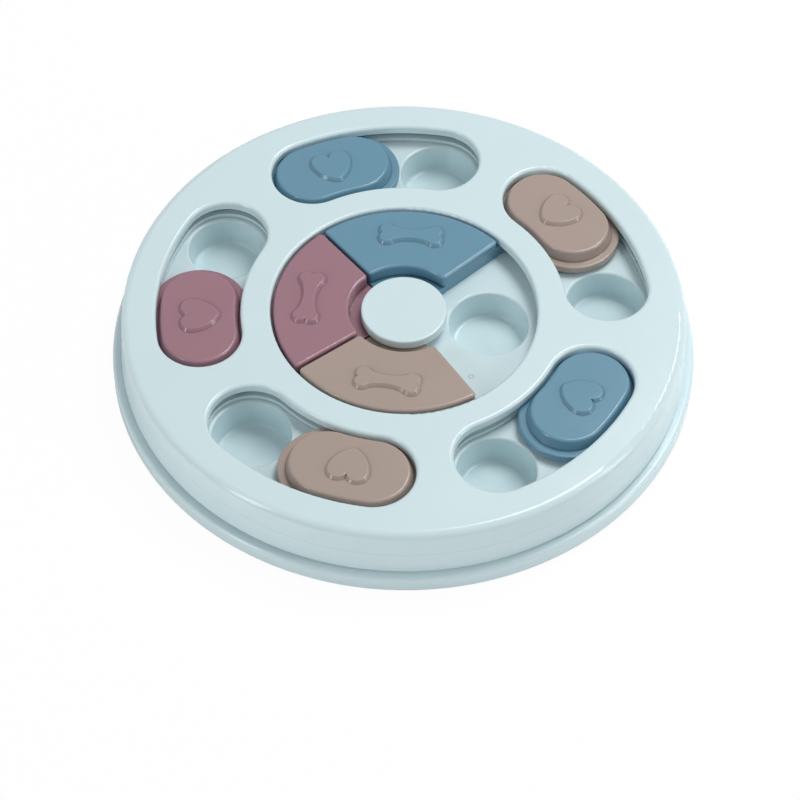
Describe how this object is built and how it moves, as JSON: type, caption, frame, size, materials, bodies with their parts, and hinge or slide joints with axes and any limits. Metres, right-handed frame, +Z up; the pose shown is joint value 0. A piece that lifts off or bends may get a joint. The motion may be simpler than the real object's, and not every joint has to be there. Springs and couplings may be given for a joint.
{
  "type": "dog puzzle feeder toy",
  "caption": "Round plastic dog puzzle feeder with treat wells hidden under heart-marked sliders in curved windows and bone-marked wedges that turn about a hub",
  "frame": {"origin": "bottom centre of the part, on the plane that the feet stand on", "axes": "+Z up through the hub, +X to the right across the well that no wedge covers, +Y to the back"},
  "size_m": [0.245, 0.245, 0.0321],
  "materials": {
    "shell": "satin pale blue polypropylene",
    "blue_plastic": "satin grey-blue polypropylene",
    "taupe_plastic": "satin taupe polypropylene",
    "mauve_plastic": "satin mauve polypropylene",
    "screw_steel": "zinc-plated steel",
    "foot_rubber": "matt grey rubber"
  },
  "bodies": {
    "feeder": {"bottom_tray": "shell", "top_cover": "shell", "hub_cap": "shell", "cover_screw_1": "screw_steel", "cover_screw_2": "screw_steel", "cover_screw_3": "screw_steel", "cover_screw_4": "screw_steel", "cover_screw_5": "screw_steel", "cover_screw_6": "screw_steel", "cover_screw_7": "screw_steel", "cover_screw_8": "screw_steel", "cover_screw_9": "screw_steel", "cover_screw_10": "screw_steel", "hub_screw": "screw_steel", "foot_1": "foot_rubber", "foot_2": "foot_rubber", "foot_3": "foot_rubber", "foot_4": "foot_rubber", "foot_5": "foot_rubber"},
    "slider_blue_1": {"slider_blue_1": "blue_plastic"},
    "slider_taupe_1": {"slider_taupe_1": "taupe_plastic"},
    "slider_blue_2": {"slider_blue_2": "blue_plastic"},
    "slider_taupe_2": {"slider_taupe_2": "taupe_plastic"},
    "slider_mauve": {"slider_mauve": "mauve_plastic"},
    "wedge_blue": {"wedge_blue": "blue_plastic"},
    "wedge_mauve": {"wedge_mauve": "mauve_plastic"},
    "wedge_taupe": {"wedge_taupe": "taupe_plastic"}
  },
  "joints": [
    {"name": "slider_blue_1_slide", "type": "hinge", "parent": "feeder", "child": "slider_blue_1", "pos_m": [0, 0, 0.0228], "axis": [0, 0, 1], "range_deg": [-24.8, 0]},
    {"name": "slider_taupe_1_slide", "type": "hinge", "parent": "feeder", "child": "slider_taupe_1", "pos_m": [0, 0, 0.0228], "axis": [0, 0, 1], "range_deg": [-24.8, 0]},
    {"name": "slider_blue_2_slide", "type": "hinge", "parent": "feeder", "child": "slider_blue_2", "pos_m": [0, 0, 0.0228], "axis": [0, 0, 1], "range_deg": [-24.8, 0]},
    {"name": "slider_taupe_2_slide", "type": "hinge", "parent": "feeder", "child": "slider_taupe_2", "pos_m": [0, 0, 0.0228], "axis": [0, 0, 1], "range_deg": [-24.8, 0]},
    {"name": "slider_mauve_slide", "type": "hinge", "parent": "feeder", "child": "slider_mauve", "pos_m": [0, 0, 0.0228], "axis": [0, 0, 1], "range_deg": [-24.8, 0]},
    {"name": "wedge_mauve_turn", "type": "hinge", "parent": "feeder", "child": "wedge_mauve", "pos_m": [0, 0, 0.0208], "axis": [0, 0, 1], "continuous": true},
    {"name": "wedge_blue_turn", "type": "hinge", "parent": "wedge_mauve", "child": "wedge_blue", "pos_m": [0, 0, 0.0208], "axis": [0, 0, 1], "range_deg": [-49, 0]},
    {"name": "wedge_taupe_turn", "type": "hinge", "parent": "wedge_mauve", "child": "wedge_taupe", "pos_m": [0, 0, 0.0208], "axis": [0, 0, 1], "range_deg": [0, 49]}
  ]
}
